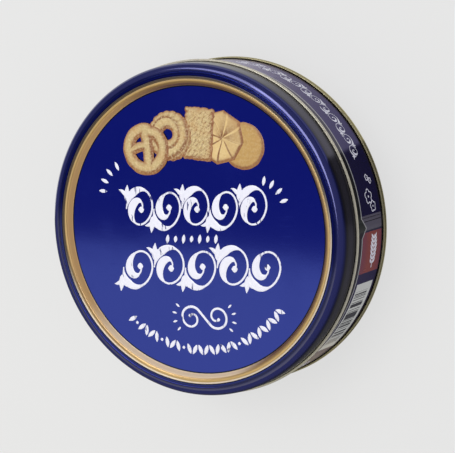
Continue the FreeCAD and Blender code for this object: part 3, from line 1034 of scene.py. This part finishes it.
def real_cookies():
    """Four baked cookies in each paper cup, each a little turned."""
    material = baked_cookie()
    rng = random.Random(11)
    for kind in FORMS:
        low, high = box(f"{kind}_cookies")
        x, y = (low + high)[:2] / 2
        thickness = high[2] - low[2] - (STACK_COUNT - 1) * STACK_PITCH
        outward = degrees(atan2(y, x)) - 90
        places = []
        for k in range(STACK_COUNT):
            spin = outward if kind == "bar" else rng.uniform(-180, 180)
            matrix = Matrix.Translation((x, y, low[2] + k * STACK_PITCH))
            places.append(matrix @ Matrix.Rotation(radians(spin + rng.uniform(-3, 3)), 4, "Z"))
        cookie_piece(f"baked_{kind}", kind, COOKIE_REACH, thickness, 96, places, "cookie_pack",
                     material, f"{kind}_cookies")


# ---- paper

CUP_PLEATS = 56
QUILT_PITCH = 9.0


def paper_cups():
    """Pleated cups: a flat floor and a wall whose pleats deepen towards the mouth."""
    paper = paper_material("cup_paper", (0.86, 0.85, 0.81), (0.76, 0.74, 0.69))
    steps = CUP_PLEATS * 4
    for kind in FORMS:
        low, high = box(f"{kind}_cup")
        middle = (low + high)[:2] / 2
        points = []
        rows = cup_rows((high[0] - low[0]) / 2, high[2] - low[2])
        for reach, z, depth in rows:
            for k in range(steps):
                wave = depth * (abs((k % 4) - 2) / 2 - 1)
                points.append((*polar(reach + wave, 360 * k / steps, middle), low[2] + z))
        faces = loft_faces(len(rows), steps)
        piece = mesh(f"{kind}_paper_cup", points, faces, "cookie_pack")
        piece.data.set_sharp_from_angle(angle=radians(75))
        dress(piece, paper, node=f"{kind}_cup")


def cup_rows(mouth, tall):
    """(reach, height, pleat depth) up the outside of a cup, over its edge and down inside."""
    base = mouth - 3.6
    paper = 0.22
    outside = [(base * 0.5, 0.0, 0.0), (base - 1.2, 0.0, 0.0), (base, 0.5, 0.25)]
    for k in range(1, 11):
        share = k / 10
        outside.append((base + (mouth - base) * share, tall * share, 0.5 + 1.0 * share))
    inside = [(reach - paper, max(z, paper), depth) for reach, z, depth in outside[::-1]]
    return outside + inside


def cushion():
    """The paper cushion: quilted in a diamond pattern, with a pinched edge."""
    low, high = box("paper_cushion")
    reach = high[0]
    foot = low[2]
    tall = high[2] - foot
    rings = 84
    steps = 360
    points = [(0.0, 0.0, foot + tall * 0.42)]
    rows = [(i, None) for i in range(1, rings + 1)] + [(rings, 0.28), (rings - 2, 0.05)]
    for i, share in rows:
        r = reach * i / rings
        pinch = min(1.0, (reach - r) / 4.0)
        for k in range(steps):
            place = polar(r, 360 * k / steps)
            raised = 0.42 + 0.55 * pinch * quilt(*place) if share is None else share
            points.append((*place, foot + tall * raised))
    faces = loft_faces(len(rows), steps, first=1)
    faces[-2:-1] = [[0, 1 + (k + 1) % steps, 1 + k] for k in range(steps)]
    paper = paper_material("cushion_paper", (0.82, 0.80, 0.74), (0.70, 0.67, 0.60))
    dress(mesh("quilted_cushion", points, faces, "cushion"), paper,
          node="paper_cushion")


def quilt(x, y):
    """Height share of a diamond quilt: 0 on its pressed lines, 1 in the middle of a diamond."""
    across, along = (abs(sin(way * pi / QUILT_PITCH)) for way in (x + y, x - y))
    return (across * along) ** 0.6


# ---- sheet metal


def lid():
    """Fine mesh of the lid: panel, step, gold band, groove, ridge, shoulder, skirt, rolled edge."""
    step = [
        ("run", PANEL_RADIUS),
        ("left", 0.8, 60),
        ("run", 2.05),
        ("right", 2.4, -15),
        ("left", 0.45, 40),
        ("right", 0.7, -30),
        ("left", 0.5, 0),
    ]
    ledge = strip_faces((0.0, PANEL_HEIGHT), 0, step)[0][-1]
    moves = step + [
        ("run", SKIRT - CORNER - ledge[0]),
        ("right", CORNER, -90),
        ("run", ledge[1] - CORNER - LID_ROLL_HEIGHT),
        ("left", ROLL - GAUGE, -90 + 295),
    ]
    piece = revolved("lid_metal", "lid", (0.0, PANEL_HEIGHT), 0, moves)
    dress(piece, lid_print(), inside_lacquer("lid_inside", TIN_LID, metal=0.3), node="lid_shell")


def wall():
    """Fine mesh of the wall with its flange, stop bead and rolled top."""
    bead = 0.65
    bead_half = (2 * bead + GAUGE) * sin(radians(50))
    moves = [
        ("run", FLANGE_TIP - FLANGE_TURN),
        ("right", FLANGE_BEND, -270),
        ("run", STOP_HEIGHT - FLANGE_TURN - bead_half),
        ("right", bead + GAUGE, -320),
        ("left", bead, -220),
        ("right", bead + GAUGE, -270),
        ("run", WALL_ROLL_HEIGHT - STOP_HEIGHT - bead_half),
        ("left", ROLL - GAUGE, -270 + 255),
    ]
    start = (WALL_RADIUS + 2 * SEAM_GAP + 2 * GAUGE, FLANGE_TIP)
    piece = revolved("wall_metal", "tin", start, -90, moves)
    printed = wall_print()
    dress(piece, inside_lacquer("wall_inside"), printed, node="body_wall")
    side_seam(printed)


def side_seam(print_material):
    """The folded side seam: a low raised strip outside and a thicker one inside."""
    foot, tall = 4.4, 30.0
    rows = 13
    section = [(LOCK_START, -0.75), (LOCK_START + 0.15, 0.10), (0.75, 0.10), (0.90, 0.03),
               (1.05, 0.10), (LOCK_END - 0.15, 0.10), (LOCK_END, -0.75)]
    points = []
    for i in range(rows):
        z = foot + tall * i / (rows - 1)
        points.extend(on_wall(turn, z, rise) for turn, rise in section)
    faces = loft_faces(rows, len(section))
    dress(mesh("side_seam", points, faces, "tin"), print_material)


def bottom():
    """Fine mesh of the bottom end, from its beaded panel out to the hook of the double seam."""
    bend = 1.6
    slope = 32
    bead = [("right", bend + GAUGE, -slope), ("left", bend, slope), ("right", bend + GAUGE, 0)]
    width = 2 * (2 * bend + GAUGE) * sin(radians(slope))
    chuck = WALL_RADIUS - GAUGE - CHUCK_GAP
    corner = 0.8
    turn = 0.45
    moves = [("run", INNER_BEAD)] + bead + [("run", OUTER_BEAD - INNER_BEAD - width)] + bead
    moves += [
        ("run", chuck - corner - OUTER_BEAD - width),
        ("right", corner, -90),
        ("run", END_HEIGHT - corner - turn),
        ("left", turn - GAUGE, 0),
        ("run", 3 * SEAM_GAP + 3 * GAUGE + CHUCK_GAP - 2 * (turn - GAUGE)),
        ("left", turn - GAUGE, 90),
        ("run", SEAM_TURN - turn),
        ("left", SEAM_GAP + GAUGE / 2, 270),
        ("run", SEAM_TURN - 1.4),
    ]
    piece = revolved("bottom_metal", "tin", (0.0, END_HEIGHT), 0, moves)
    dress(piece, inside_lacquer("end_inside"), seam_lacquer(), node="bottom_end")


def seam_ring():
    """The sealing compound keeps its CAD shape and gets its own finish."""
    node = frame["nodes"]["seam_compound"]
    node.data.materials.clear()
    node.data.materials.append(compound_material())


# ---- stage


# The camera: how the lid is turned and tilted to it, its distance, shift and aim, and its lens
SIDE_TURN = radians(-29.22)
TILT = radians(7.44)
DISTANCE = 1135.06
ASIDE = -21.373
BELOW = 3.065
AIM_HEIGHT = 57.86
LENS = 158.24

# Colours and sizes of the studio, and the glow of the floor
SKY = (0.80, 0.80, 0.80)
SKY_MIRRORED = (0.10, 0.12, 0.24)
FLOOR_SIZE = 6.0
FLOOR_GREYS = ((0.135, 0.135, 0.135), (0.14, 0.14, 0.14))
FLOOR_GLOW = 0.63
FLOOR_GLOW_UNSEEN = 0.45
GLOW_WARM = (1.0, 0.86, 0.60)
WHITE = (1, 1, 1)
BLACK = (0, 0, 0)

# The floor's glow in a polished surface, by angle round the tin: start, end, glow past the end
MIRRORED_START = 0.66
MIRRORED_GLOW = ((62.0, 78.0, 0.72), (29.0, 27.0, 0.07), (2.0, -5.0, 0.20), (-20.0, -45.0, 0.12),
                 (-48.0, -62.0, 0.08))
MIRRORED_NEAR = 0.42

# Soft lamps: name, place and aim in metres, width, height, radiance, spin in degrees, tone
LAMPS = (
    ("key", (-0.5, 0.8, 1.5), (0, 0, 0.03), 0.8, 0.8, 2.2, 0, WHITE),
    ("panel_card", (-0.363, -0.266, 0.65), (-0.363, -0.266, 0), 0.62, 0.35, 0.80, -8, (1, 0.93, 0.31)),
    ("shoulder_strip", (-0.12, 0.19, 1.0), (-0.12, 0.19, 0), 0.42, 0.44, 4.0, 150, WHITE),
    ("shoulder_fill", (-0.45, 0.50, 1.0), (-0.45, 0.50, 0), 0.45, 0.30, 0.8, 150, WHITE),
)


def camera():
    """A long lens that sees the lid from its right, about 30 degrees off its normal."""
    normal = Vector((sin(SIDE_TURN) * cos(TILT), sin(TILT), -cos(SIDE_TURN) * cos(TILT)))
    across = Vector((0, -1, 0)).cross(normal).normalized()
    along = normal.cross(across)
    rows = Matrix((across, along, normal))
    place = (Vector((0, 0, AIM_HEIGHT)) - rows @ Vector((ASIDE, BELOW, DISTANCE))) * MM
    data = bpy.data.cameras.new("camera")
    data.lens = LENS
    eye = add("camera", data)
    eye.matrix_world = Matrix.Translation(place) @ (rows @ Matrix.Diagonal((1, -1, -1))).to_4x4()
    bpy.context.scene.camera = eye


def lamp(name, place, aim, width, tall, radiance, spin, tone):
    """A soft rectangular lamp of a given brightness that faces a point."""
    data = bpy.data.lights.new(name, "AREA")
    data.shape = "RECTANGLE"
    data.size = width
    data.size_y = tall
    data.energy = radiance * pi * width * tall
    data.color = tone
    facing = (Vector(aim) - Vector(place)).to_track_quat("-Z", "Y").to_matrix().to_4x4()
    facing = facing @ Matrix.Rotation(radians(spin), 4, "Z")
    add(name, data).matrix_world = Matrix.Translation(place) @ facing


def floor():
    """Pale seamless floor; polished surfaces mirror it darker where black cards would stand."""
    data = bpy.data.meshes.new("floor")
    corners = [(x * FLOOR_SIZE, y * FLOOR_SIZE, 0) for x, y in ((-1, -1), (1, -1), (1, 1), (-1, 1))]
    data.from_pydata(corners, [], [(0, 1, 2, 3)])
    add("floor", data)
    skin = Skin("floor")
    camera_ray, glossy_ray = skin.rays()
    turn = skin.turn()
    near = skin.times(skin.step(skin.radius(), 102.0, 99.6), skin.step(turn, -44.0, -54.0))
    cards = [(skin.step(turn, start, end), glow) for start, end, glow in MIRRORED_GLOW]
    mirrored = skin.blend(MIRRORED_START, *cards, (near, MIRRORED_NEAR))
    lit = skin.blend(FLOOR_GLOW_UNSEEN, (camera_ray, FLOOR_GLOW))
    warm = skin.times(near, glossy_ray)
    grain = skin.mix(skin.noise(3.0), *FLOOR_GREYS)
    data.materials.append(skin.finish(
        Base_Color=skin.mix(glossy_ray, grain, BLACK), Roughness=0.95,
        Emission_Strength=skin.blend(lit, (glossy_ray, mirrored)),
        Emission_Color=skin.mix(warm, WHITE, GLOW_WARM)))


def world():
    """Even studio light that polished surfaces mirror as a darker room."""
    sky = bpy.data.worlds.new("studio")
    bpy.context.scene.world = sky
    sky.use_nodes = True
    nodes = Nodes(sky.node_tree)
    tone = nodes.mix(nodes.rays()[1], SKY, SKY_MIRRORED)
    nodes.plug(nodes.tree.nodes["Background"].inputs["Color"], tone)


def build():
    lid()
    wall()
    bottom()
    seam_ring()
    lid_ornament()
    wall_ornament()
    printed_cookies()
    real_cookies()
    paper_cups()
    cushion()
    camera()
    floor()
    world()
    for settings in LAMPS:
        lamp(*settings)
    bpy.context.scene.view_settings.view_transform = "Standard"


build()
